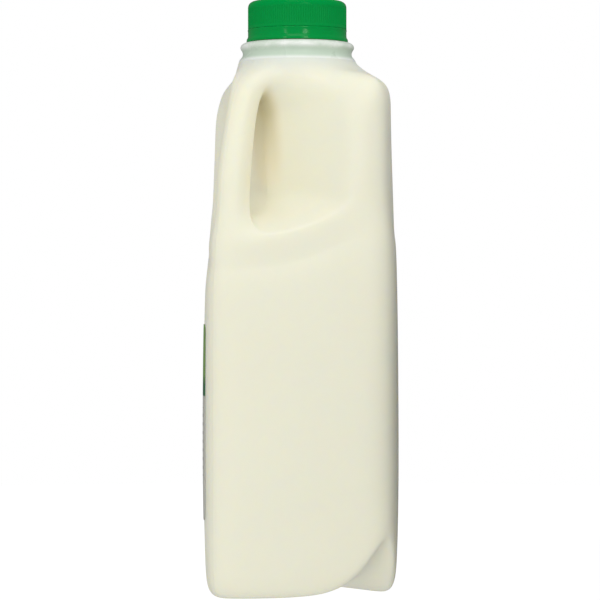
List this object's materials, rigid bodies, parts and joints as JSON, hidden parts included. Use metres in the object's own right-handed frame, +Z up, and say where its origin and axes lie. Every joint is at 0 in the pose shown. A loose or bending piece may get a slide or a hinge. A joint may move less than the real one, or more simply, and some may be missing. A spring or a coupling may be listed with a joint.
{
  "type": "buttermilk jug",
  "caption": "Square translucent plastic jug full of a cultured dairy drink, with a hollow handle moulded into one corner, a ribbed screw cap and a label on one face.",
  "frame": {"origin": "under the middle of the square base, on the surface the jug stands on", "axes": "+Z up along the neck; the handle is at the corner towards -X and -Y, and the label is on the -X face"},
  "size_m": [0.0783, 0.0775, 0.2346],
  "materials": {
    "translucent_wall": "satin, translucent",
    "cultured_drink": "opaque cream liquid",
    "green_plastic": "semi-gloss",
    "label_film": "smooth printed film"
  },
  "bodies": {
    "root": {"jug": "translucent_wall", "buttermilk": "cultured_drink", "cap": "green_plastic", "tamper_band": "green_plastic", "label": "label_film"}
  },
  "joints": []
}
